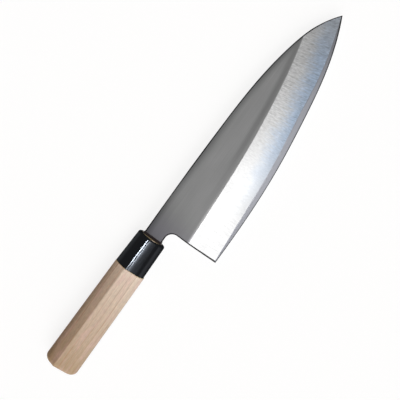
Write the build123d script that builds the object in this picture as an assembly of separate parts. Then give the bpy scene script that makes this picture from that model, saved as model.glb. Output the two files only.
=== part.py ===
from build123d import *
import math
import os

# A deba: a heavy single-bevel kitchen knife with a laminated blade in a wooden handle.
# The blade lies on its flat back. X runs from the butt to the tip, Y towards the spine and Z up, out
# of the ground face. While it is drawn, x = 0 is the heel, y = 0 the middle of the handle and z = 0
# the flat back. All sizes are in millimetres.

# Blade, seen from above: the spine and the edge meet at the tip, and the shinogi is the ridge between
# the flat face and the bevel
BLADE_LENGTH = 240.0
SPINE = [(0, 8.6), (50, 8.72), (100, 8.05), (150, 5.9), (195, -0.7), (222, -9.6)]
EDGE = [(0.2, -58.9), (50, -58.1), (100, -54.5), (150, -47.3), (200, -36.7)]
SHINOGI = [(0.4, -29.2), (50, -26.4), (100, -22.5), (150, -15.9), (200, -5.3), (BLADE_LENGTH, 8.0)]
TIP = (BLADE_LENGTH, -21.1)
SPINE_AT_TIP = (1.0, -0.85)
EDGE_AT_TIP = (1.0, 0.52)

# Blade, seen from the side: thick at the heel, thinning evenly, with a hair of thickness at the edge
HEEL_THICKNESS = 8.5
TAPER = 0.0239
EDGE_THICKNESS = 0.25
EASED = 0.4

# Hard steel: how much shows above the edge at even steps from heel to tip, and its depth at the spine.
# Most of what shows is honed steeper than the bevel, so that the edge doesn't chip.
STEEL_SHOWN = [1.3, 3.6, 4.9, 5.4, 5.8, 5.9, 4.5, 3.3, 0.8]
HONED_SHARE = 0.92
HONED_STEEPER = math.radians(10)
STEEL_AT_SPINE = (2.3, 0.6)
STEEL_START = -9.0

# Hollow of the back, and the flat rims that are left beside it
HOLLOW_DEPTH = 0.45
HOLLOW_AT_ENDS = 0.12
HOLLOW_SPAN = (0.02, 0.93)
HOLLOW_SECTIONS = 6
RIM_AT_EDGE = 2.6
RIM_AT_SPINE = 3.4

# Neck and tang
NECK_TOP = 8.5
NECK_LOW = -9.4
NECK_IN_WOOD = 4.0
HEEL_TOP_X = 0.8
MACHI_RADIUS = 7.5
TANG_LENGTH = 92.0
TANG_POINT = 7.0
TANG_HEIGHT = (13.6, 6.4, 3.0)
TANG_THICKNESS = (7.4, 3.2, 2.6)
SLOT_SPARE = 3.0
TENON_RADIUS = 10.4
TENON_Y = -0.3

# Handle: each pair is the value at the two ends of the wood, or at the two ends of the ferrule
MID_Z = 4.2
BUTT_X = -158.8
JOINT_X = -48.2
FRONT_X = -14.3
WOOD_TOP = (16.45, 14.95)
WOOD_LOW = (-16.2, -15.45)
WOOD_RIDGE = (13.2, 13.0)
WOOD_RIDGE_Y = (4.6, 3.3)
WOOD_BELLY = (12.6, 12.3)
WOOD_RIDGE_ROUND = 2.6
FERRULE_TOP = (14.75, 13.4)
FERRULE_LOW = (-14.75, -14.1)
FERRULE_RIDGE = (12.7, 12.4)
FERRULE_RIDGE_Y = (3.0, 2.4)
FERRULE_BELLY = (12.0, 11.7)
FERRULE_RIDGE_ROUND = 1.3
EDGE_FACET = math.radians(15)
SPINE_FACET = math.radians(30)
BUTT_ROUND = 5.0
LIP_ROUND = 1.8
ROUND_STEPS = 5
LEAST_ROUND = 0.5
JOINT_CHAMFER = 0.35

# Seal: how far it runs along the neck, and how far it stands off it at its two ends
SEAL_REACH = 2.2
SEAL_STAND = (1.1, 0.15)

# Lengths that only need to reach past the work
CLEAR = 40.0
OVERRUN = 6.0

# A point on the flat rim of the back, where a rack or a whetstone meets it
REST_POINT = Vector(100, 6.4, 0)


def along(pair, share):
    return pair[0] + (pair[1] - pair[0]) * share


def beyond(a, b, length):
    """The point that lies length past b on the line from a."""
    return b + (b - a).normalized() * length


def across(x, y=0.0, z=MID_Z):
    """The plane across the knife at x, with its own x axis towards the spine."""
    return Plane(origin=(x, y, z), x_dir=(0, 1, 0), z_dir=(1, 0, 0))


def top_z(x):
    """Height of the flat upper face, which thins evenly from the heel to the tip."""
    return HEEL_THICKNESS - TAPER * x


def plan_curves():
    """The spine, the edge and the shinogi, seen from above."""
    spine = Spline([*SPINE, TIP], tangents=[(1, 0), SPINE_AT_TIP])
    edge = Spline([*EDGE, TIP], tangents=[(1, 0), EDGE_AT_TIP])
    return spine, edge, Spline(SHINOGI)


def stations():
    """Even steps from heel to tip, one for each width of the steel that shows."""
    last = len(STEEL_SHOWN) - 1
    return [i / last for i in range(last + 1)]


def surface_through(low, high, past_low, past_high):
    """A ruled face through two rows of points, run on past both rows and past both ends."""
    low = [low[0] * 2 - low[1], *low, low[-1] * 2 - low[-2]]
    high = [high[0] * 2 - high[1], *high, high[-1] * 2 - high[-2]]
    outer = [beyond(h, p, past_low) for p, h in zip(low, high)]
    inner = [beyond(p, h, past_high) for p, h in zip(low, high)]
    return Face.make_surface_from_curves(Spline(outer).edge(), Spline(inner).edge())


def bevel_rows(edge, shinogi):
    """Matching points on the cutting edge, on the crease above the honed strip and on the shinogi."""
    low = [Vector((edge @ t).X, (edge @ t).Y, EDGE_THICKNESS) for t in stations()]
    high = [Vector((shinogi @ t).X, (shinogi @ t).Y, top_z((shinogi @ t).X)) for t in stations()]
    crease = []
    for p, h, shown in zip(low, high, STEEL_SHOWN):
        width = HONED_SHARE * shown
        crease.append(beyond(h, p, -width) + Vector(0, 0, width * math.tan(HONED_STEEPER)))
    return low, crease, high


def blade_outline(spine, edge):
    """Outline of the blade and neck, with the round machi between the neck and the heel."""
    neck_end = FRONT_X - NECK_IN_WOOD
    machi_x, machi_y = HEEL_TOP_X - MACHI_RADIUS, NECK_LOW - MACHI_RADIUS
    back = Line((neck_end, NECK_TOP), SPINE[0])
    neck = Polyline((neck_end, NECK_TOP), (neck_end, NECK_LOW), (machi_x, NECK_LOW))
    machi = RadiusArc((machi_x, NECK_LOW), (HEEL_TOP_X, machi_y), MACHI_RADIUS)
    heel = Line((HEEL_TOP_X, machi_y), EDGE[0])
    return make_face([back, spine, edge, heel, machi, neck])


def blank(spine, edge):
    """The forged blank: the outline with a tapering flat face, its upper corners lightly eased."""
    solid = extrude(blade_outline(spine, edge), CLEAR)
    slope = math.degrees(math.atan(TAPER))
    solid = split(solid, Plane((0, 0, HEEL_THICKNESS)).rotated((0, slope, 0)), keep=Keep.BOTTOM)
    upper = solid.faces().sort_by(Axis.Z)[-1]
    return chamfer(upper.edges(), EASED)


def hollow(spine, edge):
    """The shallow hollow ground into the back: arcs across the blade, carried along it."""
    sections = []
    for i in range(HOLLOW_SECTIONS):
        share = i / (HOLLOW_SECTIONS - 1)
        low, high = edge @ along(HOLLOW_SPAN, share), spine @ along(HOLLOW_SPAN, share)
        start, end = beyond(high, low, -RIM_AT_EDGE), beyond(low, high, -RIM_AT_SPINE)
        depth = along((HOLLOW_AT_ENDS, HOLLOW_DEPTH), math.sqrt(math.sin(math.pi * share)))
        arc = ThreePointArc(start, (start + end) / 2 + Vector(0, 0, depth), end)
        below = Vector(0, 0, -1)
        chord = Polyline(end, end + below, start + below, start)
        sections.append(Face(Wire([arc, *chord.edges()])))
    return loft(sections)


def whole_blade(spine, edge, shinogi):
    """The ground blade, before it is told apart into iron and steel."""
    low, crease, high = bevel_rows(edge, shinogi)
    ground_off = extrude(surface_through(crease, high, OVERRUN, OVERRUN), CLEAR, dir=(0, 0, 1))
    honed_off = extrude(surface_through(low, crease, OVERRUN, OVERRUN), CLEAR, dir=(0, 0, 1))
    return blank(spine, edge) - ground_off - honed_off - hollow(spine, edge)


def under_weld(edge, shinogi):
    """Everything under the weld of the two metals, which meets the bevel just above the honed strip."""
    low, crease, high = bevel_rows(edge, shinogi)
    rest = [(1 - HONED_SHARE) * width for width in STEEL_SHOWN]
    shown = [beyond(h, c, -width) for c, h, width in zip(crease, high, rest)]
    back = [Vector(p.X, NECK_TOP, along(STEEL_AT_SPINE, t)) for p, t in zip(low, stations())]
    under = extrude(surface_through(shown, back, OVERRUN, OVERRUN), CLEAR, dir=(0, 0, -1))
    length = BLADE_LENGTH - STEEL_START + OVERRUN
    return under & Pos(STEEL_START + length / 2, 0, 0) * Box(length, 4 * CLEAR, 2 * CLEAR)


def tang_places():
    """Where the tang starts, where it begins to narrow to its blunt point, and where it ends."""
    start = FRONT_X - NECK_IN_WOOD
    end = start - TANG_LENGTH
    return start, end + TANG_POINT, end


def tang():
    """The tang, which narrows and thins evenly and ends in a blunt point."""
    sections = []
    for x, height, thickness in zip(tang_places(), TANG_HEIGHT, TANG_THICKNESS):
        sections.append(across(x, TENON_Y) * Rectangle(height, thickness))
    return loft(sections, ruled=True)


def slot_end():
    """The square end of the burnt-in slot, which the point of the tang doesn't fill."""
    _, shoulder, end = tang_places()
    section = across(shoulder, TENON_Y) * Rectangle(TANG_HEIGHT[1], TANG_THICKNESS[1])
    return extrude(section, end - shoulder - SLOT_SPARE)


def handle_section(x, top, low, ridge_y, ridge_height, belly, ridge_round, inset=0.0):
    """Section of the handle: two facets that meet at a rounded ridge, round sides and an oval belly.

    Each side is an arc that stands upright at mid height and runs smoothly into its facet.
    """
    top, low = top - inset, low + inset
    ridge_height, belly = ridge_height - inset, belly - inset
    ridge_round = max(ridge_round - inset, LEAST_ROUND)
    ridge = Vector(ridge_y, ridge_height)
    ends = []
    for side, angle, reach in ((-1, EDGE_FACET, ridge_y - low), (1, SPINE_FACET, top - ridge_y)):
        rise = math.tan(angle)
        radius = (ridge_height - rise * reach) / (math.hypot(1, rise) - rise)
        centre = Vector(ridge_y + side * (reach - radius), 0)
        ends.append(centre + Vector(side * math.sin(angle), math.cos(angle)) * radius)
    back_off = ridge_round * math.tan((EDGE_FACET + SPINE_FACET) / 2)
    near = [beyond(end, ridge, -back_off) for end in ends]
    lines = [
        TangentArc((low, 0), ends[0], tangent=(0, 1)),
        Line(ends[0], near[0]),
        TangentArc(near[0], near[1], tangent=near[0] - ends[0]),
        Line(near[1], ends[1]),
        TangentArc((top, 0), ends[1], tangent=(0, 1)),
        EllipticalCenterArc(((top + low) / 2, 0), (top - low) / 2, belly, 180, arc_size=180),
    ]
    return across(x) * make_face(lines)


def wood_section(x, inset=0.0):
    share = (x - BUTT_X) / (JOINT_X - BUTT_X)
    pairs = WOOD_TOP, WOOD_LOW, WOOD_RIDGE_Y, WOOD_RIDGE, WOOD_BELLY
    return handle_section(x, *(along(pair, share) for pair in pairs), WOOD_RIDGE_ROUND, inset)


def ferrule_section(x, inset=0.0):
    share = (x - JOINT_X) / (FRONT_X - JOINT_X)
    pairs = FERRULE_TOP, FERRULE_LOW, FERRULE_RIDGE_Y, FERRULE_RIDGE, FERRULE_BELLY
    return handle_section(x, *(along(pair, share) for pair in pairs), FERRULE_RIDGE_ROUND, inset)


def rounded_end(x, inward, radius, section):
    """Sections that follow a quarter circle from the side of the handle to its end face."""
    faces = []
    for i in range(ROUND_STEPS + 1):
        angle = math.pi / 2 * i / ROUND_STEPS
        faces.append(section(x + inward * radius * (1 - math.sin(angle)), radius * (1 - math.cos(angle))))
    return loft(faces)


def tenon(start, end):
    return extrude(across(start, TENON_Y) * Circle(TENON_RADIUS), end - start)


def wood_handle(metal):
    """One piece of wood: the grip with its rounded butt, and the round tenon inside the ferrule."""
    chamfer_x = JOINT_X - JOINT_CHAMFER
    grip = loft([wood_section(BUTT_X + BUTT_ROUND), wood_section(chamfer_x)], ruled=True)
    collar = loft([wood_section(chamfer_x), wood_section(JOINT_X, JOINT_CHAMFER)], ruled=True)
    butt = rounded_end(BUTT_X, 1, BUTT_ROUND, wood_section)
    return grip + collar + butt + tenon(JOINT_X, FRONT_X) - metal - slot_end()


def ferrule():
    """The sleeve, with its front lip rounded over and its bore open from end to end."""
    sleeve = loft([ferrule_section(JOINT_X), ferrule_section(FRONT_X - LIP_ROUND)], ruled=True)
    lip = rounded_end(FRONT_X, -1, LIP_ROUND, ferrule_section)
    return sleeve + lip - tenon(JOINT_X - OVERRUN, FRONT_X + OVERRUN)


def neck_seal(metal):
    """The bead of seal round the neck, highest against the wood and thinned out along the neck."""
    middle = (NECK_TOP + NECK_LOW) / 2
    height, thick = NECK_TOP - NECK_LOW, top_z(FRONT_X)
    sections = []
    for x, stand in zip((FRONT_X, FRONT_X + SEAL_REACH), SEAL_STAND):
        outline = RectangleRounded(height + 2 * stand, thick + 2 * stand, stand)
        sections.append(across(x, middle, thick / 2) * outline)
    bead = loft(sections, ruled=True)
    return (bead & tenon(FRONT_X, FRONT_X + SEAL_REACH)) - metal


def build():
    spine, edge, shinogi = plan_curves()
    blade = whole_blade(spine, edge, shinogi)
    steel = blade & under_weld(edge, shinogi)
    iron = (blade - steel) + tang()
    parts = {
        "soft_iron_body": iron,
        "hard_steel_layer": steel,
        "wood_handle": wood_handle(iron),
        "ferrule": ferrule(),
        "neck_seal": neck_seal(iron),
    }
    solids = {name: part.solids() for name, part in parts.items()}
    box = Compound([solid for group in solids.values() for solid in group]).bounding_box()
    origin = Vector(box.center().X, box.center().Y, box.min.Z)
    print("box", box.size, "origin", origin, "rest point", REST_POINT - origin)
    os.makedirs("parts", exist_ok=True)
    for name, group in solids.items():
        print(name, [round(solid.volume) for solid in group])
        moved = [solid.moved(Location(-origin)) for solid in group]
        export_step(Compound(moved) if len(moved) > 1 else moved[0], f"parts/{name}.step")


build()
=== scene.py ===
import math

import bpy
import numpy as np
from mathutils import Matrix, Vector


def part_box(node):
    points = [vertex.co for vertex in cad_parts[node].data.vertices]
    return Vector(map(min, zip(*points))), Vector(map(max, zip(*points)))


bl_info = {
    "name": "Deba knife finishes",
    "version": (1, 0, 0),
    "blender": (4, 5, 0),
    "location": "View3D > Sidebar > Deba",
    "description": "Finishes for a single-bevel kitchen knife, and the studio that shows it",
    "category": "Material",
}

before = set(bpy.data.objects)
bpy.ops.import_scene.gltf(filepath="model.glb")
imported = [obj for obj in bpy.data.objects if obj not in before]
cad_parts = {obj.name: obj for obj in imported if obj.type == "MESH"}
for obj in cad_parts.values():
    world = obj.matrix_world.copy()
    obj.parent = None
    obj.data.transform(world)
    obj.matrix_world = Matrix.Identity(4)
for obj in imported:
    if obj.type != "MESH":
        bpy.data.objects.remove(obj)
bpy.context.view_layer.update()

# Measures of the knife that the finishes follow. In shaders, lengths are millimetres: x from the heel
# towards the tip, y from the middle of the handle towards the spine and z up from the flat back. A pair of
# places there says where a change begins and where it is done.
MM = 0.001
BLADE_LENGTH = 240.0
HEEL_HEIGHT = 58.9

# Thickness of the blade at the heel, what it loses in each millimetre towards the tip, and what the bevel
# leaves of it at the edge
HEEL_THICKNESS = 8.5
TAPER = 0.0239
EDGE_THICKNESS = 0.25

# Points along the spine, from one on the neck, and along the ridge between the flat face and the bevel
SPINE = [(-20, 8.5), (0, 8.6), (50, 8.72), (100, 8.05), (150, 5.9), (195, -0.7), (222, -9.6), (240, -21.1)]
SHINOGI = [(0, -29.2), (50, -26.4), (100, -22.5), (150, -15.9), (200, -5.3), (240, 8.0)]

# The x of the heel's end, half way down the bevel and at the upper corner, the y of the neck's lower side,
# and the radius of the notch between the neck and that corner
HEEL_X = 0.4
NOTCH_X = 0.8
NECK_LOW = -9.4
NOTCH_RADIUS = 7.5

# The y of the ferrule's ridge, at the wood and at its front
FERRULE_RIDGE_Y = (3.0, 2.4)

# Where the knife's own zero lies in the frame, and the ends of the wood and the ferrule
STEEL_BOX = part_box("hard_steel_layer")
WOOD_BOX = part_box("wood_handle")
FERRULE_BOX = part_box("ferrule")
ORIGIN = Vector((
    STEEL_BOX[1].x / MM - BLADE_LENGTH,
    STEEL_BOX[0].y / MM + HEEL_HEIGHT,
    STEEL_BOX[0].z / MM,
))
BUTT_X = WOOD_BOX[0].x / MM - ORIGIN.x
JOINT_X = FERRULE_BOX[0].x / MM - ORIGIN.x
FRONT_X = FERRULE_BOX[1].x / MM - ORIGIN.x

# Sockets of the Mix node, and the smooth way of a change
FACTOR, VALUE_A, VALUE_B, COLOUR_A, COLOUR_B = 0, 2, 3, 6, 7
MIXED_COLOUR = 2
SMOOTH = "SMOOTHSTEP"

# Span that nearly all of a noise lies in
NOISE_SPAN = (0.25, 0.75)

# Reach of the eased corners, which painted shade draws as dark lines, in from the heel and in from the spine
# and the notch, each from where it begins to fade to where it is gone. The solid's are 0.4 mm wide, and are
# drawn wider so that they show.
HEEL_ARRIS = (0.6, 1.0)
SIDE_ARRIS = (0.8, 1.2)

SENSOR_WIDTH = 36.0
WHITE = (1.0, 1.0, 1.0, 1.0)
HORN_IOR = 1.5
WOOD_IOR = 1.5
RESIN_IOR = 1.5


def linear(code):
    """An sRGB hex colour such as #c4ab93 as linear red, green, blue and alpha."""
    parts = [int(code[i:i + 2], 16) / 255 for i in (1, 3, 5)]
    return [p / 12.92 if p <= 0.04045 else ((p + 0.055) / 1.055) ** 2.4 for p in parts] + [1.0]


def place(x, y, z):
    """A point of the frame, in metres, from the knife's own millimetres."""
    return (Vector((x, y, z)) + ORIGIN) * MM


def about(middle, swing):
    """The lowest and the highest of what swings this far about a middle."""
    return middle - swing, middle + swing


def add(tree, kind, inputs=(), out=0, **settings):
    """Adds a node with its settings, feeds its inputs with values or outputs, and returns its output out."""
    made = tree.nodes.new(kind)
    for name, value in settings.items():
        setattr(made, name, value)
    fed = inputs if isinstance(inputs, dict) else dict(enumerate(inputs))
    for socket, value in fed.items():
        if isinstance(value, bpy.types.NodeSocket):
            tree.links.new(value, made.inputs[socket])
        else:
            made.inputs[socket].default_value = value
    return made.outputs[out] if made.outputs else None


def start(name):
    """A new material with an empty tree."""
    material = bpy.data.materials.new(name)
    material.use_nodes = True
    material.node_tree.nodes.clear()
    return material, material.node_tree


def position(tree):
    """The x, y and z of the surface, in the knife's own millimetres."""
    where = add(tree, "ShaderNodeTexCoord", out="Object")
    there = add(tree, "ShaderNodeVectorMath", (where, (1 / MM,) * 3, -ORIGIN), operation="MULTIPLY_ADD")
    return [add(tree, "ShaderNodeSeparateXYZ", (there,), axis) for axis in "XYZ"]


def facing(tree, axis):
    """How far the surface faces along an axis, from -1 to 1."""
    normal = add(tree, "ShaderNodeTexCoord", out="Normal")
    return add(tree, "ShaderNodeSeparateXYZ", (normal,), axis)


def close(material, tree, inputs, height, depth, normal=None):
    """Ends the tree. height runs from 0 to 1, and depth is how many millimetres that is."""
    relief = {"Strength": 1.0, "Distance": depth * MM, "Height": height}
    if normal:
        relief["Normal"] = normal
    bump = add(tree, "ShaderNodeBump", relief)
    shader = add(tree, "ShaderNodeBsdfPrincipled", {**inputs, "Normal": bump})
    add(tree, "ShaderNodeOutputMaterial", (shader,))
    return material


def line_height(tree, x, points):
    """The y of a drawn line at x: the polynomial through the line's points.

    It is worked out in hundreds of millimetres along the blade, which keeps its factors small.
    """
    hundred = 100
    far, high = np.array(points, float).T
    factors = np.polyfit(far / hundred, high, len(points) - 1)
    along = add(tree, "ShaderNodeMath", (x, 1 / hundred), operation="MULTIPLY")
    height = factors[0]
    for factor in factors[1:]:
        height = add(tree, "ShaderNodeMath", (height, along, factor), operation="MULTIPLY_ADD")
    return height


def strokes(tree, across, along, width, length, seed, detail=2.0):
    """Noise drawn out into strokes of this width and length in millimetres, from 0 to 1."""
    wide = add(tree, "ShaderNodeMath", (across, 1 / width), operation="MULTIPLY")
    long = add(tree, "ShaderNodeMath", (along, 1 / length), operation="MULTIPLY")
    spot = add(tree, "ShaderNodeCombineXYZ", (wide, long, seed))
    return add(tree, "ShaderNodeTexNoise", {"Vector": spot, "Scale": 1.0, "Detail": detail})


def bevel_fall(tree, x, z):
    """How far the surface lies below the flat face, in millimetres and as a share of the fall to the edge."""
    top = add(tree, "ShaderNodeMath", (x, -TAPER, HEEL_THICKNESS), operation="MULTIPLY_ADD")
    fallen = add(tree, "ShaderNodeMath", (top, z), operation="SUBTRACT")
    whole = add(tree, "ShaderNodeMath", (top, EDGE_THICKNESS), operation="SUBTRACT")
    return fallen, add(tree, "ShaderNodeMath", (fallen, whole), operation="DIVIDE")


def flat_face_colour(tree, finish, x, y, from_spine, hairs):
    """Colour of the flat face, by places along the blade and reaches across it in millimetres.

    It is darker in a band above the ridge. Painted shade darkens it towards the spine and the neck, painted
    light brightens it towards the tip, and a painted highlight lies along the ridge at the heel. The neck is
    a little purple, and faint clouds and hairlines run along the blade.
    """
    # Painted shade towards the spine
    spine_reach = (0.0, 7.5)
    at_spine = 1.0 - finish.spine_shade
    spine_shade = add(
        tree, "ShaderNodeMapRange", (from_spine, *spine_reach, at_spine, 1.0), interpolation_type=SMOOTH)

    shinogi = line_height(tree, x, SHINOGI)
    from_shinogi = add(tree, "ShaderNodeMath", (y, shinogi), operation="SUBTRACT")
    band_heights, band_sinks = (4.8, 1.8), (100.0, 190.0)
    band_height = add(tree, "ShaderNodeMapRange", (x, *band_sinks, *band_heights))
    off_band = add(tree, "ShaderNodeMath", (from_shinogi, band_height), operation="SUBTRACT")
    off_band = add(tree, "ShaderNodeMath", (off_band,), operation="ABSOLUTE")
    band_darkens, band_fade = (20.0, 115.0), (0.5, 4.5)
    in_band = add(tree, "ShaderNodeMapRange", (x, *band_darkens, 1.0, 1.0 - finish.ridge_shade))
    band = add(tree, "ShaderNodeMapRange", (off_band, *band_fade, in_band, 1.0), interpolation_type=SMOOTH)

    # Painted highlight along the ridge at the heel, in place of the light that a rounded ridge would catch
    highlight_stretch, highlight_reach = (0.0, 80.0), (0.0, 2.4)
    at_ridge = add(tree, "ShaderNodeMapRange", (x, *highlight_stretch, finish.heel_glow, 1.0))
    painted_ridge_highlight = add(
        tree, "ShaderNodeMapRange", (from_shinogi, *highlight_reach, at_ridge, 1.0), interpolation_type=SMOOTH)

    # Painted shade towards the neck, by the handle
    neck_slant, neck_stretch = -0.5, (-20.0, 40.0)
    from_neck = add(tree, "ShaderNodeMath", (y, neck_slant, x), operation="MULTIPLY_ADD")
    at_neck = 1.0 - finish.neck_shade
    neck_shade = add(
        tree, "ShaderNodeMapRange", (from_neck, *neck_stretch, at_neck, 1.0), interpolation_type=SMOOTH)

    # Painted light towards the tip
    tip_stretch = (60.0, 190.0)
    tip_shade = add(tree, "ShaderNodeMapRange", (x, *tip_stretch, 1.0, finish.tip_gain))

    cloud_swing, hair_swing = 0.05, 0.06
    clouds = strokes(tree, y, x, width=14.0, length=45.0, seed=1.0, detail=3.0)
    cloud_shade = add(tree, "ShaderNodeMapRange", (clouds, *NOISE_SPAN, *about(1.0, cloud_swing)))
    hair_shade = add(tree, "ShaderNodeMapRange", (hairs, *NOISE_SPAN, *about(1.0, hair_swing)))

    shade = add(tree, "ShaderNodeMath", (spine_shade, band), operation="MINIMUM")
    for factor in (painted_ridge_highlight, neck_shade, tip_shade, cloud_shade, hair_shade):
        shade = add(tree, "ShaderNodeMath", (shade, factor), operation="MULTIPLY")
    purple_stretch = (20.0, -15.0)
    purple = add(tree, "ShaderNodeMapRange", (x, *purple_stretch), interpolation_type=SMOOTH)
    colours = {FACTOR: purple, COLOUR_A: finish.flat_colour, COLOUR_B: finish.neck_colour}
    colour = add(tree, "ShaderNodeMix", colours, MIXED_COLOUR, data_type="RGBA")
    return add(tree, "ShaderNodeVectorMath", {0: colour, "Scale": shade}, operation="SCALE")


def fanned(tree, x, y):
    """Distance along the blade of the grinding stroke that crosses a point.

    The strokes stand square to the blade at the heel, and lean over with the square of the distance from it.
    """
    lean, lean_at = 0.27, 200
    fan = add(tree, "ShaderNodeMath", (x, x), operation="MULTIPLY")
    fan = add(tree, "ShaderNodeMath", (fan, lean / lean_at ** 2), operation="MULTIPLY")
    return add(tree, "ShaderNodeMath", (y, fan, x), operation="MULTIPLY_ADD")


def ground_bevel_colour(tree, finish, x, y, fall, stroke_x, coarse):
    """Colour of the bevel, by places along the blade in millimetres and by the share of its fall.

    Grinding strokes run across it and show more towards the tip. Near the weld it has a cloudy, bluish
    painted reflection, which grows away from the heel and thins again at the tip, and along the middle of the
    blade painted shade darkens it there. Painted shade makes the whole bevel a little darker at the heel.
    """
    marks_grow, mark_gain_at_heel = (50.0, 150.0), 0.1
    fine = strokes(tree, stroke_x, y, width=1.0, length=3.2, seed=11.0)
    marks = add(tree, "ShaderNodeMath", (coarse, fine), operation="ADD")
    marks = add(tree, "ShaderNodeMath", (marks, 1.0), operation="SUBTRACT")
    mark_gain = add(tree, "ShaderNodeMapRange", (x, *marks_grow, mark_gain_at_heel, finish.mark_gain))
    mark_shade = add(tree, "ShaderNodeMath", (marks, mark_gain, 1.0), operation="MULTIPLY_ADD")

    # Share of the painted bluish reflection near the weld, cloudy like the hazed iron
    patch_share, stroke_share, reflection_fall = 0.3, 0.35, (0.5, 0.92)
    patches = strokes(tree, stroke_x, y, width=14.0, length=18.0, seed=5.0)
    cloudy = add(tree, "ShaderNodeMath", (patches, patch_share, fall), operation="MULTIPLY_ADD")
    cloudy = add(tree, "ShaderNodeMath", (coarse, stroke_share, cloudy), operation="MULTIPLY_ADD")
    blue_reflection = add(
        tree, "ShaderNodeMapRange", (cloudy, *reflection_fall, 0.0, finish.weld_reflection), interpolation_type=SMOOTH)
    reflection_grows, reflection_thins, reflection_at_tip = (35.0, 145.0), (190.0, 235.0), 0.5
    grown = add(tree, "ShaderNodeMapRange", (x, *reflection_grows), interpolation_type=SMOOTH)
    thinned = add(tree, "ShaderNodeMapRange", (x, *reflection_thins, 1.0, reflection_at_tip), interpolation_type=SMOOTH)
    for factor in (grown, thinned):
        blue_reflection = add(tree, "ShaderNodeMath", (blue_reflection, factor), operation="MULTIPLY")
    colours = {FACTOR: blue_reflection, COLOUR_A: finish.bevel_colour, COLOUR_B: finish.weld_reflection_colour}
    colour = add(tree, "ShaderNodeMix", colours, MIXED_COLOUR, data_type="RGBA")

    # Painted shade at the heel, which keeps the bevel's bright reflection there from turning white
    heel_stretch = (10.0, 75.0)
    heel_shade = add(tree, "ShaderNodeMapRange", (x, *heel_stretch, finish.heel_share, 1.0))
    # Painted shade near the weld, along the middle of the blade
    dark_grows, dark_ends, dark_fall = (5.0, 60.0), (120.0, 190.0), (0.45, 0.7)
    at_weld = add(tree, "ShaderNodeMapRange", (x, *dark_grows, 1.0, 1.0 - finish.weld_shade))
    at_weld = add(tree, "ShaderNodeMapRange", (x, *dark_ends, at_weld, 1.0))
    weld_shade = add(tree, "ShaderNodeMapRange", (fall, *dark_fall, 1.0, at_weld))
    shade = mark_shade
    for factor in (heel_shade, weld_shade):
        shade = add(tree, "ShaderNodeMath", (shade, factor), operation="MULTIPLY")
    return add(tree, "ShaderNodeVectorMath", {0: colour, "Scale": shade}, operation="SCALE")


def notch_distance(tree, x, y):
    """Distance in from the outline that the finger notch gives the neck and the heel.

    It is the length of the vector from the middle of the round, with what is below zero in it taken as zero,
    less the radius.
    """
    here = add(tree, "ShaderNodeCombineXYZ", (x, y, 0.0))
    middle = Vector((NOTCH_X - NOTCH_RADIUS, NECK_LOW - NOTCH_RADIUS, 0.0))
    past = add(tree, "ShaderNodeVectorMath", (here, middle), operation="SUBTRACT")
    past = add(tree, "ShaderNodeVectorMath", (past, (0.0, 0.0, 0.0)), operation="MAXIMUM")
    from_middle = add(tree, "ShaderNodeVectorMath", (past,), "Value", operation="LENGTH")
    return add(tree, "ShaderNodeMath", (from_middle, NOTCH_RADIUS), operation="SUBTRACT")


def iron_arrises(tree, x, y, from_spine, up, on_top, on_bevel):
    """1 on the eased corners of the iron, where painted shade draws dark lines, and 0 elsewhere.

    They are the narrow bevelled corners of the flat face, which face halfway up, and the last of the top
    faces towards the spine, the notch and, on the ground bevel, the heel.
    """
    halfway_up, off_fade = math.sqrt(0.5), (0.1, 0.05)
    off_corner = add(tree, "ShaderNodeMath", (up, halfway_up), operation="SUBTRACT")
    off_corner = add(tree, "ShaderNodeMath", (off_corner,), operation="ABSOLUTE")
    arris = add(tree, "ShaderNodeMapRange", (off_corner, *off_fade))
    from_heel = add(tree, "ShaderNodeMath", (x, HEEL_X), operation="SUBTRACT")
    at_heel = add(tree, "ShaderNodeMapRange", (from_heel, *HEEL_ARRIS, on_bevel, 0.0))
    at_spine = add(tree, "ShaderNodeMapRange", (from_spine, *SIDE_ARRIS, on_top, 0.0))
    at_notch = add(tree, "ShaderNodeMapRange", (notch_distance(tree, x, y), *SIDE_ARRIS, on_top, 0.0))
    for line in (at_heel, at_spine, at_notch):
        arris = add(tree, "ShaderNodeMath", (arris, line), operation="MAXIMUM")
    return arris


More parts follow.
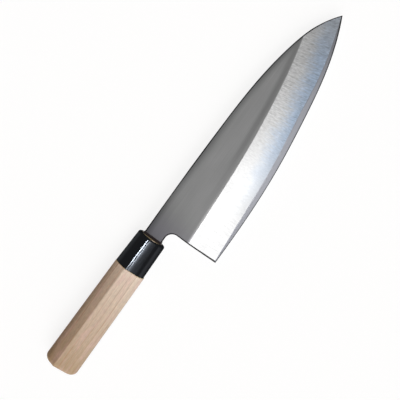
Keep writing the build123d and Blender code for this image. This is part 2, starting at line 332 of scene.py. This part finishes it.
def iron_material(finish):
    """Soft iron, rolled and forged, wheel-ground on the bevel and hazed with stone powder.

    It gives the eye a level grey satin on the flat face, with hairlines along the blade, and a brighter
    cloudy bevel whose grinding strokes run across it, with a painted bluish reflection and painted shade
    towards the weld. The real strokes and hairlines are some 0.1 mm wide, and are drawn about ten times
    wider so that they show.
    """
    material, tree = start("soft_iron_ground_and_hazed")
    x, y, z = position(tree)
    up = facing(tree, "Z")
    top_facing, leaves_flat = (0.8, 0.9), (0.03, 0.08)
    on_top = add(tree, "ShaderNodeMapRange", (up, *top_facing))
    fallen, fall = bevel_fall(tree, x, z)
    below_flat = add(tree, "ShaderNodeMapRange", (fallen, *leaves_flat))
    on_bevel = add(tree, "ShaderNodeMath", (on_top, below_flat), operation="MULTIPLY")

    spine = line_height(tree, x, SPINE)
    from_spine = add(tree, "ShaderNodeMath", (spine, y), operation="SUBTRACT")
    hairs = strokes(tree, y, x, width=0.7, length=50.0, seed=3.0)
    flat = flat_face_colour(tree, finish, x, y, from_spine, hairs)
    stroke_x = fanned(tree, x, y)
    coarse = strokes(tree, stroke_x, y, width=1.3, length=12.0, seed=7.0, detail=3.0)
    bevel = ground_bevel_colour(tree, finish, x, y, fall, stroke_x, coarse)
    faces = {FACTOR: on_bevel, COLOUR_A: flat, COLOUR_B: bevel}
    colour = add(tree, "ShaderNodeMix", faces, MIXED_COLOUR, data_type="RGBA")

    # Painted shade: dark lines along the eased corners
    arris = iron_arrises(tree, x, y, from_spine, up, on_top, on_bevel)
    arris_shade = add(tree, "ShaderNodeMath", (arris, -finish.arris_shade, 1.0), operation="MULTIPLY_ADD")
    colour = add(tree, "ShaderNodeVectorMath", {0: colour, "Scale": arris_shade}, operation="SCALE")

    flat_swing, bevel_swing, stroke_depth = 0.04, 0.05, 0.006
    flat_limits = about(finish.flat_roughness, flat_swing)
    bevel_limits = about(finish.bevel_roughness, bevel_swing)
    flat_rough = add(tree, "ShaderNodeMapRange", (hairs, *NOISE_SPAN, *flat_limits))
    bevel_rough = add(tree, "ShaderNodeMapRange", (coarse, *NOISE_SPAN, *bevel_limits))
    rough = add(tree, "ShaderNodeMix", {FACTOR: on_bevel, VALUE_A: flat_rough, VALUE_B: bevel_rough})
    height = add(tree, "ShaderNodeMix", {FACTOR: on_bevel, VALUE_A: hairs, VALUE_B: coarse})
    inputs = {"Base Color": colour, "Metallic": 1.0, "Roughness": rough}
    return close(material, tree, inputs, height, stroke_depth)


def steel_material(finish):
    """Hard carbon steel, honed along the edge and flat-polished on the back.

    It gives the eye a smoother, even grey strip beside the cloudy iron, darker partly as a painted dark
    reflection, and on the back a bright flat rim round a satin hollow. The real honing lines are far finer,
    and are drawn 0.8 mm wide so that they show.
    """
    material, tree = start("hard_steel_honed")
    x, y, z = position(tree)
    up = facing(tree, "Z")
    along = strokes(tree, y, x, width=0.8, length=60.0, seed=5.0)
    across = strokes(tree, x, y, width=0.8, length=25.0, seed=9.0)
    back_facing, leaves_rim = (-0.8, -0.9), (0.01, 0.06)
    on_back = add(tree, "ShaderNodeMapRange", (up, *back_facing))
    above_rim = add(tree, "ShaderNodeMapRange", (z, *leaves_rim))
    hollow = add(tree, "ShaderNodeMath", (on_back, above_rim), operation="MULTIPLY")
    strip_swing, hollow_shades = 0.04, (0.78, 0.96)
    strip_shade = add(tree, "ShaderNodeMapRange", (along, *NOISE_SPAN, *about(1.0, strip_swing)))
    hollow_shade = add(tree, "ShaderNodeMapRange", (across, *NOISE_SPAN, *hollow_shades))
    shade = add(tree, "ShaderNodeMix", {FACTOR: hollow, VALUE_A: strip_shade, VALUE_B: hollow_shade})
    # The strip's colour is darker partly as a painted dark reflection
    colours = {FACTOR: on_back, COLOUR_A: finish.steel_and_reflection_colour, COLOUR_B: finish.back_colour}
    colour = add(tree, "ShaderNodeMix", colours, MIXED_COLOUR, data_type="RGBA")
    colour = add(tree, "ShaderNodeVectorMath", {0: colour, "Scale": shade}, operation="SCALE")

    # Arris, a dark line of painted shade: the last of the strip, towards the edge and the heel
    strip_facing, edge_fade = (0.5, 0.6), (0.42, 0.60)
    on_strip = add(tree, "ShaderNodeMapRange", (up, *strip_facing))
    at_edge = add(tree, "ShaderNodeMapRange", (z, *edge_fade, 1.0, 0.0))
    from_heel = add(tree, "ShaderNodeMath", (x, HEEL_X), operation="SUBTRACT")
    at_heel = add(tree, "ShaderNodeMapRange", (from_heel, *HEEL_ARRIS, 1.0, 0.0))
    arris = add(tree, "ShaderNodeMath", (at_edge, at_heel), operation="MAXIMUM")
    arris = add(tree, "ShaderNodeMath", (arris, on_strip), operation="MULTIPLY")
    arris_shade = add(tree, "ShaderNodeMath", (arris, -finish.arris_shade, 1.0), operation="MULTIPLY_ADD")
    colour = add(tree, "ShaderNodeVectorMath", {0: colour, "Scale": arris_shade}, operation="SCALE")

    hollow_roughness, line_depth = 0.40, 0.002
    roughs = {FACTOR: hollow, VALUE_A: finish.steel_roughness, VALUE_B: hollow_roughness}
    rough = add(tree, "ShaderNodeMix", roughs)
    height = add(tree, "ShaderNodeMix", {FACTOR: hollow, VALUE_A: along, VALUE_B: across})
    inputs = {"Base Color": colour, "Metallic": 1.0, "Roughness": rough}
    return close(material, tree, inputs, height, line_depth)


def growth_lines(tree, x, depth):
    """How strongly a growth line shows, from 0 to 1, by the depth into the tree.

    The lines are the crests of a sine wave of that depth, stronger and weaker from place to place.
    """
    spacing, first, crest = 4.9, 0.6, (0.87, 1.0)
    phase = add(tree, "ShaderNodeMath", (depth, 2 * math.pi / spacing, first), operation="MULTIPLY_ADD")
    wave = add(tree, "ShaderNodeMath", (phase,), operation="SINE")
    line = add(tree, "ShaderNodeMapRange", (wave, *crest), interpolation_type=SMOOTH)
    noise_steps, weakest_and_strongest = (0.35, 0.65), (0.15, 0.8)
    stronger = strokes(tree, depth, x, width=4.0, length=60.0, seed=9.0, detail=1.0)
    strength = add(tree, "ShaderNodeMapRange", (stronger, *noise_steps, *weakest_and_strongest))
    return add(tree, "ShaderNodeMath", (line, strength), operation="MULTIPLY")


def wood_material(finish):
    """Magnolia, the pale even wood of such handles, planed and sanded and left bare.

    It gives the eye fine straight growth lines along the handle, rosier patches, short pores, a few specks,
    a paler end by the ferrule, and yellower end grain where it meets it, painted lighter than the shade it
    lies in there. The real pores are some 0.1 mm wide, and are drawn ten times wider so that they show.
    """
    material, tree = start("magnolia_planed_and_sanded")
    x, y, z = position(tree)
    along_handle = add(tree, "ShaderNodeMapRange", (x, BUTT_X, JOINT_X))
    colours = {FACTOR: along_handle, COLOUR_A: finish.butt_colour, COLOUR_B: finish.wood_colour}
    colour = add(tree, "ShaderNodeMix", colours, MIXED_COLOUR, data_type="RGBA")

    # Depth into the tree, whose layers stand side by side along the handle, lean a little and bend a little
    layer_lean, layer_bend = 0.25, 3.0
    bend = strokes(tree, y, x, width=30.0, length=80.0, seed=2.0, detail=1.0)
    depth = add(tree, "ShaderNodeMath", (z, layer_lean, y), operation="MULTIPLY_ADD")
    depth = add(tree, "ShaderNodeMath", (bend, layer_bend, depth), operation="MULTIPLY_ADD")

    blush_span, blush_most = (0.45, 0.75), 0.6
    blush = strokes(tree, depth, x, width=5.0, length=22.0, seed=15.0, detail=3.0)
    blush = add(tree, "ShaderNodeMapRange", (blush, *blush_span, 0.0, blush_most), interpolation_type=SMOOTH)
    butt_facing, joint_facing = (-0.75, -0.95), (0.35, 0.7)
    forward = facing(tree, "X")
    at_butt = add(tree, "ShaderNodeMapRange", (forward, *butt_facing))
    at_joint = add(tree, "ShaderNodeMapRange", (forward, *joint_facing))

    ring_swing, pore_swing, speck_span, speck_dark = 0.10, 0.11, (0.74, 0.82), 0.72
    rings = strokes(tree, depth, x, width=1.3, length=120.0, seed=4.0, detail=4.0)
    shade = add(tree, "ShaderNodeMapRange", (rings, *NOISE_SPAN, *about(1.0, ring_swing)))
    pores = strokes(tree, depth, x, width=1.0, length=4.0, seed=6.0, detail=3.0)
    pore_shade = add(tree, "ShaderNodeMapRange", (pores, *NOISE_SPAN, *about(1.0, pore_swing)))
    specks = strokes(tree, y, x, width=1.2, length=2.0, seed=8.0, detail=1.0)
    speck_shade = add(tree, "ShaderNodeMapRange", (specks, *speck_span, 1.0, speck_dark))
    for factor in (pore_shade, speck_shade):
        shade = add(tree, "ShaderNodeMath", (shade, factor), operation="MULTIPLY")

    for share, tint in ((growth_lines(tree, x, depth), finish.grain_colour), (blush, finish.blush_colour)):
        tinted = {FACTOR: share, COLOUR_A: colour, COLOUR_B: tint}
        colour = add(tree, "ShaderNodeMix", tinted, MIXED_COLOUR, data_type="RGBA")
    colour = add(tree, "ShaderNodeVectorMath", {0: colour, "Scale": shade}, operation="SCALE")
    # The end grain against the ferrule is painted lighter than its shade there
    for share, tint in ((at_butt, finish.butt_end_colour), (at_joint, finish.joint_end_grain_and_light_colour)):
        tinted = {FACTOR: share, COLOUR_A: colour, COLOUR_B: tint}
        colour = add(tree, "ShaderNodeMix", tinted, MIXED_COLOUR, data_type="RGBA")

    wood_roughness, pore_depth = (0.52, 0.66), 0.03
    rough = add(tree, "ShaderNodeMapRange", (pores, *NOISE_SPAN, *wood_roughness))
    inputs = {"Base Color": colour, "Roughness": rough, "IOR": WOOD_IOR, "Specular IOR Level": 0.3}
    return close(material, tree, inputs, pores, pore_depth)


def buffed_normal(tree, finish, x, y):
    """Direction that the ferrule's surface faces once buffing has eased it.

    The facet below the ridge gets a slope, in radians, by the distance below the ridge. Beside the ridge it
    leans back towards the spine, most of all in the narrow hollow of a file stroke, and then it is crowned
    down, quickly at first and by a third more on its lower part. The sides are lifted, as if rounded over.
    """
    up = facing(tree, "Z")
    ridge = add(tree, "ShaderNodeMapRange", (x, JOINT_X, FRONT_X, *FERRULE_RIDGE_Y))
    below = add(tree, "ShaderNodeMath", (ridge, y), operation="SUBTRACT")
    beside_slope, beside_fade = -0.052, (1.3, 5.6)
    slope = add(tree, "ShaderNodeMapRange", (below, *beside_fade, beside_slope, 0.0))
    stroke_slope, stroke_middle, stroke_fade = -0.10, 2.0, (0.1, 0.6)
    off_stroke = add(tree, "ShaderNodeMath", (below, stroke_middle), operation="SUBTRACT")
    off_stroke = add(tree, "ShaderNodeMath", (off_stroke,), operation="ABSOLUTE")
    stroke = add(
        tree, "ShaderNodeMapRange", (off_stroke, *stroke_fade, stroke_slope, 0.0), interpolation_type=SMOOTH)
    crown_stretch, lower_stretch = (3.2, 5.4), (5.4, 10.0)
    limits = (below, *crown_stretch, 0.0, finish.facet_crown)
    crown = add(tree, "ShaderNodeMapRange", limits, interpolation_type=SMOOTH)
    lower = add(tree, "ShaderNodeMapRange", (below, *lower_stretch, 0.0, finish.facet_crown / 3))
    for more in (stroke, crown, lower):
        slope = add(tree, "ShaderNodeMath", (slope, more), operation="ADD")

    facet_facing, side_facing, under_facing = (0.5, 0.9), (0.0, 0.8), (-0.3, 0.0)
    on_facet = add(tree, "ShaderNodeMapRange", (up, *facet_facing, 0.0, -1.0))
    tilt = add(tree, "ShaderNodeMath", (slope, on_facet), operation="MULTIPLY")
    side_lift = add(tree, "ShaderNodeMapRange", (up, *side_facing, finish.side_lift, 0.0))
    under_lift = add(tree, "ShaderNodeMapRange", (up, *under_facing, 0.0, finish.side_lift))
    lift = add(tree, "ShaderNodeMath", (side_lift, under_lift), operation="MINIMUM")
    turn = add(tree, "ShaderNodeCombineXYZ", (0.0, tilt, lift))
    normal = add(tree, "ShaderNodeNewGeometry", out="Normal")
    normal = add(tree, "ShaderNodeVectorMath", (normal, turn), operation="ADD")
    return add(tree, "ShaderNodeVectorMath", (normal,), operation="NORMALIZE")


def horn_material(finish):
    """Black horn, turned, filed to the handle's shape and buffed.

    It gives the eye a deep black gloss with paler streaks, a hand-polished ripple in its reflections, and
    scratches along it, which are drawn coarser than real ones so that they show.
    """
    material, tree = start("black_horn_buffed")
    x, y, _ = position(tree)
    streak_span = (0.5, 0.8)
    streaks = strokes(tree, y, x, width=1.2, length=40.0, seed=8.0, detail=3.0)
    streak = add(tree, "ShaderNodeMapRange", (streaks, *streak_span), interpolation_type=SMOOTH)
    colours = {FACTOR: streak, COLOUR_A: finish.horn_colour, COLOUR_B: finish.horn_streak_colour}
    colour = add(tree, "ShaderNodeMix", colours, MIXED_COLOUR, data_type="RGBA")

    scratch_share, ripple_depth, less_rough, more_rough = 0.04, 0.018, 0.04, 0.05
    ripple = strokes(tree, y, x, width=4.0, length=9.0, seed=12.0, detail=1.0)
    scratches = strokes(tree, y, x, width=0.9, length=10.0, seed=13.0)
    height = add(tree, "ShaderNodeMath", (scratches, scratch_share, ripple), operation="MULTIPLY_ADD")
    limits = (finish.horn_roughness - less_rough, finish.horn_roughness + more_rough)
    rough = add(tree, "ShaderNodeMapRange", (scratches, *NOISE_SPAN, *limits))
    inputs = {
        "Base Color": colour, "Roughness": rough, "IOR": HORN_IOR, "Specular IOR Level": 0.4,
        "Specular Tint": finish.horn_gloss_colour}
    return close(material, tree, inputs, height, ripple_depth, buffed_normal(tree, finish, x, y))


def seal_material(finish):
    """Pine resin and ash, run in hot and wiped: a dull red-brown bead, darker in patches and by painted
    shade.
    """
    material, tree = start("neck_seal_resin_and_shade")
    x, y, _ = position(tree)
    seal_roughness, lump_depth = (0.4, 0.55), 0.15
    lumps = strokes(tree, y, x, width=1.0, length=1.0, seed=14.0, detail=3.0)
    # Both colours are dark partly as painted shade where the neck enters the ferrule
    colours = {FACTOR: lumps, COLOUR_A: finish.seal_and_shade_colour, COLOUR_B: finish.seal_and_shade_dark_colour}
    colour = add(tree, "ShaderNodeMix", colours, MIXED_COLOUR, data_type="RGBA")
    rough = add(tree, "ShaderNodeMapRange", (lumps, *NOISE_SPAN, *seal_roughness))
    inputs = {"Base Color": colour, "Roughness": rough, "IOR": RESIN_IOR}
    return close(material, tree, inputs, lumps, lump_depth)


def finish_node(node, material):
    """Gives a CAD node its finish."""
    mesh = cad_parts[node].data
    mesh.materials.clear()
    mesh.materials.append(material)


def colour_setting(name, description, code):
    """A colour, given as sRGB hex."""
    return bpy.props.FloatVectorProperty(
        name=name, description=description, subtype="COLOR", size=4, min=0.0, max=1.0, default=linear(code))


def share_setting(name, description, default):
    """A share from 0 to 1."""
    return bpy.props.FloatProperty(
        name=name, description=description, subtype="FACTOR", min=0.0, max=1.0, default=default)


def factor_setting(name, description, default):
    """A factor that may be more than 1."""
    return bpy.props.FloatProperty(
        name=name, description=description, subtype="FACTOR", min=0.0, default=default)


def length_setting(name, description, default):
    """A length in metres."""
    return bpy.props.FloatProperty(
        name=name, description=description, unit="LENGTH", subtype="DISTANCE", default=default)


def angle_setting(name, description, degrees):
    """An angle, given in degrees."""
    return bpy.props.FloatProperty(
        name=name, description=description, subtype="ANGLE", default=math.radians(degrees))


def point_setting(name, description, default):
    """A point in metres, or a direction."""
    return bpy.props.FloatVectorProperty(
        name=name, description=description, subtype="TRANSLATION", default=default)


class BladeFinish(bpy.types.PropertyGroup):
    """Finish of the two metals of the blade."""

    flat_colour: colour_setting("Flat face", "Soft iron above the ridge", "#acacac")
    neck_colour: colour_setting("Neck", "Soft iron near the handle", "#aeacb4")
    bevel_colour: colour_setting("Bevel", "Ground iron below the ridge", "#d1d1d1")
    # Painted bluish reflection near the weld
    weld_reflection_colour: colour_setting("Haze", "Iron close to the weld", "#a5b4c7")
    # Darker partly as a painted dark reflection
    steel_and_reflection_colour: colour_setting("Hard steel", "Honed strip along the edge", "#94959b")
    back_colour: colour_setting("Back", "Flat back of the blade", "#c2c4c6")
    # Painted shade beside the spine
    spine_shade: share_setting("Spine shade", "How much darker the flat face is beside the spine", 0.42)
    ridge_shade: share_setting("Ridge shade", "How much darker the flat face is above the ridge", 0.28)
    # Painted shade at the neck
    neck_shade: share_setting("Neck shade", "How much darker the flat face is at the neck", 0.50)
    # Painted highlight at the heel end of the ridge
    heel_glow: factor_setting("Heel glow", "Brightness of the rounded heel end of the ridge", 2.2)
    # Painted light at the tip
    tip_gain: factor_setting("Tip gain", "Brightness of the flat face at the tip", 1.15)
    # Painted shade at the heel of the bevel
    heel_share: share_setting("Heel share", "Brightness of the bevel's colour at the heel", 0.78)
    # Painted shade on the eased corners
    arris_shade: share_setting("Arris shade", "How much darker the eased corners are", 0.95)
    mark_gain: factor_setting("Stroke marks", "How strongly the grinding strokes show near the tip", 0.8)
    # How strongly the painted bluish reflection shows near the weld
    weld_reflection: share_setting("Weld haze", "How strongly the haze colours the bevel at the weld", 1.0)
    # Painted shade near the weld
    weld_shade: share_setting("Weld shade", "How much darker the bevel is at the weld", 0.25)
    flat_roughness: share_setting("Flat roughness", "Roughness of the flat face", 0.40)
    bevel_roughness: share_setting("Bevel roughness", "Roughness of the bevel", 0.39)
    steel_roughness: share_setting("Steel roughness", "Roughness of the honed strip", 0.38)


class HandleFinish(bpy.types.PropertyGroup):
    """Finish of the wood, the ferrule and the seal."""

    wood_colour: colour_setting("Wood", "Wood near the ferrule", "#ecd8c5")
    butt_colour: colour_setting("Butt", "Wood at the butt, darker from the hand", "#bca080")
    grain_colour: colour_setting("Grain", "Growth lines", "#bd8a6a")
    blush_colour: colour_setting("Blush", "Rosier patches of the wood", "#e2c0b4")
    butt_end_colour: colour_setting("Butt end", "End grain at the butt, sanded and closed", "#b8997a")
    # End grain by the ferrule, painted lighter than its shade there
    joint_end_grain_and_light_colour: colour_setting("Joint end", "Fresh end grain against the ferrule", "#e6d2a4")
    horn_colour: colour_setting("Horn", "Ferrule", "#08090a")
    horn_streak_colour: colour_setting("Horn streaks", "Paler streaks in the ferrule", "#14100e")
    # Dark partly as painted shade at the neck
    seal_and_shade_colour: colour_setting("Seal", "Resin at the neck", "#301c1a")
    seal_and_shade_dark_colour: colour_setting("Seal shade", "Resin where it is thick", "#120a0a")
    horn_gloss_colour: colour_setting("Horn gloss", "Tint of the reflections in the ferrule", "#e6f0ff")
    facet_crown: angle_setting("Facet crown", "How far the ferrule's facet turns down below its flat part", 9)
    side_lift: factor_setting("Side lift", "How far the ferrule's sides look rounded over", 1.33)
    horn_roughness: share_setting("Horn roughness", "Roughness of the buffed ferrule", 0.15)


class StudioSettings(bpy.types.PropertyGroup):
    """Camera, lamps, room and floor."""

    aim: point_setting("Aim", "Point that the camera looks at", place(37.93, -14.8, 0))
    eye: point_setting("Eye", "Where the camera stands", place(78.02, -14.8, 525.6))
    turn: angle_setting("Turn", "Slope of the knife in the picture", 54.1)
    lens: bpy.props.FloatProperty(
        name="Lens", description="Focal length for a 36 mm sensor", subtype="DISTANCE_CAMERA", default=53.25)
    floor_size: length_setting("Floor", "Side of the floor", 8.0)
    floor_colour: colour_setting("Floor colour", "Grey of the floor that lights matt surfaces", "#8c8c8c")
    floor_glow: share_setting("Floor glow", "Share of the floor's white that no shadow takes away", 0.8)
    ceiling: share_setting("Ceiling", "Brightness of the ceiling", 0.28)
    wall_colour: colour_setting("Spine-side wall", "Colour of the wall on the spine side", "#d2a262")
    softbox_direction: point_setting("Softbox", "Softbox as seen from the blade", (-0.03, -0.51, 0.86))
    softbox_core: angle_setting("Softbox core", "Angle from its middle where the softbox starts to fade", 11)
    softbox_rim: angle_setting("Softbox rim", "Angle from its middle where the softbox ends", 20)
    softbox_radiance: factor_setting("Softbox radiance", "Brightness of the softbox", 3.15)
    window_direction: point_setting("Window", "Window as seen from the blade", (-0.68, -0.48, 0.55))
    window_core: angle_setting("Window core", "Angle from its middle where the window starts to fade", 15)
    window_rim: angle_setting("Window rim", "Angle from its middle where the window ends", 35)
    window_radiance: factor_setting("Window radiance", "Brightness of the window", 2.4)
    spot_direction: point_setting("Spot", "Spot as seen from the ferrule", (-0.19, -0.37, 0.91))
    spot_distance: length_setting("Spot distance", "How far away the spot is", 0.8)
    spot_size: length_setting("Spot size", "Radius of the spot's front", 0.02)
    spot_power: bpy.props.FloatProperty(
        name="Spot power", description="Power of the spot", unit="POWER", default=5.0)
    spot_cone: angle_setting("Spot cone", "Opening of the spot's beam", 2.6)
    spot_softness: share_setting("Spot softness", "Share of the spot's beam that fades out", 0.5)


def place_camera(studio):
    """The camera looks from eye to aim, turned so that the blade slopes as it does in the picture."""
    data = bpy.data.cameras.new("camera")
    camera = bpy.data.objects.new("camera", data)
    bpy.context.scene.collection.objects.link(camera)
    data.sensor_width = SENSOR_WIDTH
    data.lens = studio.lens
    back = (Vector(studio.eye) - Vector(studio.aim)).normalized()
    along = Vector((0, 1, 0)).cross(back).normalized()
    across = back.cross(along)
    right = along * math.cos(studio.turn) - across * math.sin(studio.turn)
    up = along * math.sin(studio.turn) + across * math.cos(studio.turn)
    camera.matrix_world = Matrix.Translation(studio.eye) @ Matrix((right, up, back)).transposed().to_4x4()
    bpy.context.scene.camera = camera


def light_ferrule(studio):
    """A small spot with a narrow beam, which draws the line of light along the ferrule's ridge."""
    data = bpy.data.lights.new("spot", "SPOT")
    data.energy = studio.spot_power
    data.spot_size = studio.spot_cone
    data.spot_blend = studio.spot_softness
    data.shadow_soft_size = studio.spot_size
    lamp = bpy.data.objects.new("spot", data)
    bpy.context.scene.collection.objects.link(lamp)
    ridge_y, ridge_z = 2, 16
    lit = place((JOINT_X + FRONT_X) / 2, ridge_y, ridge_z)
    towards = Vector(studio.spot_direction).normalized()
    lamp.location = lit + towards * studio.spot_distance
    lamp.rotation_mode = "QUATERNION"
    lamp.rotation_quaternion = towards.to_track_quat("Z", "Y")


def shown(tree):
    """1 for rays that show the background, seen plainly or by way of gloss or glass, and 0 for the others."""
    ray = add(tree, "ShaderNodeLightPath", out="Is Camera Ray")
    for name in ("Is Glossy Ray", "Is Transmission Ray"):
        other = add(tree, "ShaderNodeLightPath", out=name)
        ray = add(tree, "ShaderNodeMath", (ray, other), operation="MAXIMUM")
    return ray


def build_world(studio):
    """A dim room with a softbox and a wide window.

    Seen plainly or in gloss, its walls are white at floor level. Matt surfaces get a warmer light from its
    spine side instead. The brightness of each lamp depends on the angle from its middle alone: full inside
    its core, none beyond its rim.
    """
    world = bpy.data.worlds.new("room")
    bpy.context.scene.world = world
    world.use_nodes = True
    tree = world.node_tree
    tree.nodes.clear()
    where = add(tree, "ShaderNodeTexCoord", out="Generated")
    background = shown(tree)

    # The heights, as sines of the angle above the floor, between which the walls turn into the ceiling
    wall_ends = (0.02, 0.16)
    height = add(tree, "ShaderNodeSeparateXYZ", (where,), "Z")
    wall = add(tree, "ShaderNodeMapRange", (background, 0.0, 1.0, studio.ceiling, 1.0))
    light = add(
        tree, "ShaderNodeMapRange", (height, *wall_ends, wall, studio.ceiling), interpolation_type=SMOOTH)
    lamps = (
        (studio.softbox_direction, studio.softbox_core, studio.softbox_rim, studio.softbox_radiance),
        (studio.window_direction, studio.window_core, studio.window_rim, studio.window_radiance))
    for direction, core, rim, radiance in lamps:
        middle = Vector(direction).normalized()
        towards = add(tree, "ShaderNodeVectorMath", (where, middle), "Value", operation="DOT_PRODUCT")
        limits = (towards, math.cos(rim), math.cos(core), 0.0, radiance)
        lamp = add(tree, "ShaderNodeMapRange", limits, interpolation_type=SMOOTH)
        light = add(tree, "ShaderNodeMath", (light, lamp), operation="ADD")

    # The share of the spine side in a direction at which the warm wall begins and is full
    warm_span = (0.0, 0.6)
    side = add(tree, "ShaderNodeSeparateXYZ", (where,), "Y")
    warmest = add(tree, "ShaderNodeMath", (1.0, background), operation="SUBTRACT")
    warmth = add(tree, "ShaderNodeMapRange", (side, *warm_span, 0.0, warmest), interpolation_type=SMOOTH)
    colours = {FACTOR: warmth, COLOUR_A: WHITE, COLOUR_B: studio.wall_colour}
    colour = add(tree, "ShaderNodeMix", colours, MIXED_COLOUR, data_type="RGBA")
    shader = add(tree, "ShaderNodeBackground", (colour, light))
    add(tree, "ShaderNodeOutputWorld", (shader,))


def build_floor(studio):
    """A white floor.

    What the camera and the gloss see of it is mostly its own white, so shadows stay faint. Matt surfaces get
    the light of a grey floor.
    """
    half = studio.floor_size / 2
    corners = [(-half, -half, 0), (half, -half, 0), (half, half, 0), (-half, half, 0)]
    mesh = bpy.data.meshes.new("floor")
    mesh.from_pydata(corners, [], [(0, 1, 2, 3)])
    floor = bpy.data.objects.new("floor", mesh)
    bpy.context.scene.collection.objects.link(floor)
    material, tree = start("white_floor")
    plain = add(tree, "ShaderNodeBsdfDiffuse", (studio.floor_colour,))
    shadowed_white = 1.0 - studio.floor_glow
    shadowed = add(tree, "ShaderNodeBsdfDiffuse", ((shadowed_white, shadowed_white, shadowed_white, 1.0),))
    lift_to_white = 0.05
    glow = add(tree, "ShaderNodeEmission", (WHITE, studio.floor_glow + lift_to_white))
    white = add(tree, "ShaderNodeAddShader", (shadowed, glow))
    mixed = add(tree, "ShaderNodeMixShader", (shown(tree), plain, white))
    add(tree, "ShaderNodeOutputMaterial", (mixed,))
    mesh.materials.append(material)


class DEBA_OT_build_stage(bpy.types.Operator):
    """Set up the camera, the lamps, the room and the floor"""

    bl_idname = "deba.build_stage"
    bl_label = "Build Stage"

    def execute(self, context):
        studio = context.scene.deba_studio
        place_camera(studio)
        light_ferrule(studio)
        build_world(studio)
        build_floor(studio)
        context.scene.view_settings.view_transform = "Standard"
        return {"FINISHED"}


class DEBA_OT_finish_iron(bpy.types.Operator):
    """Finish the soft iron of the blade and its neck"""

    bl_idname = "deba.finish_iron"
    bl_label = "Finish Soft Iron"

    def execute(self, context):
        finish_node("soft_iron_body", iron_material(context.scene.deba_blade))
        return {"FINISHED"}


class DEBA_OT_finish_steel(bpy.types.Operator):
    """Finish the hard steel along the edge and over the back"""

    bl_idname = "deba.finish_steel"
    bl_label = "Finish Hard Steel"

    def execute(self, context):
        finish_node("hard_steel_layer", steel_material(context.scene.deba_blade))
        return {"FINISHED"}


class DEBA_OT_finish_wood(bpy.types.Operator):
    """Finish the wooden handle"""

    bl_idname = "deba.finish_wood"
    bl_label = "Finish Wood"

    def execute(self, context):
        finish_node("wood_handle", wood_material(context.scene.deba_handle))
        return {"FINISHED"}


class DEBA_OT_finish_ferrule(bpy.types.Operator):
    """Finish the ferrule and the seal at the neck"""

    bl_idname = "deba.finish_ferrule"
    bl_label = "Finish Ferrule and Seal"

    def execute(self, context):
        finish_node("ferrule", horn_material(context.scene.deba_handle))
        finish_node("neck_seal", seal_material(context.scene.deba_handle))
        return {"FINISHED"}


class DEBA_PT_panel(bpy.types.Panel):
    """Lists the finishes and their settings"""

    bl_label = "Deba knife"
    bl_idname = "DEBA_PT_panel"
    bl_space_type = "VIEW_3D"
    bl_region_type = "UI"
    bl_category = "Deba"

    def draw(self, context):
        for name in GROUPS:
            box = self.layout.box()
            group = getattr(context.scene, name)
            for setting in group.__annotations__:
                box.prop(group, setting)
        for operator in OPERATORS:
            self.layout.operator(operator.bl_idname)


GROUPS = {"deba_blade": BladeFinish, "deba_handle": HandleFinish, "deba_studio": StudioSettings}
OPERATORS = (
    DEBA_OT_build_stage,
    DEBA_OT_finish_iron,
    DEBA_OT_finish_steel,
    DEBA_OT_finish_wood,
    DEBA_OT_finish_ferrule,
)


def register():
    for kind in (*GROUPS.values(), *OPERATORS, DEBA_PT_panel):
        bpy.utils.register_class(kind)
    for name, kind in GROUPS.items():
        setattr(bpy.types.Scene, name, bpy.props.PointerProperty(type=kind))


def unregister():
    for name in GROUPS:
        delattr(bpy.types.Scene, name)
    for kind in reversed((*GROUPS.values(), *OPERATORS, DEBA_PT_panel)):
        bpy.utils.unregister_class(kind)


def main():
    register()
    bpy.ops.deba.build_stage()
    bpy.ops.deba.finish_iron()
    bpy.ops.deba.finish_steel()
    bpy.ops.deba.finish_wood()
    bpy.ops.deba.finish_ferrule()


if __name__ == "__main__":
    main()
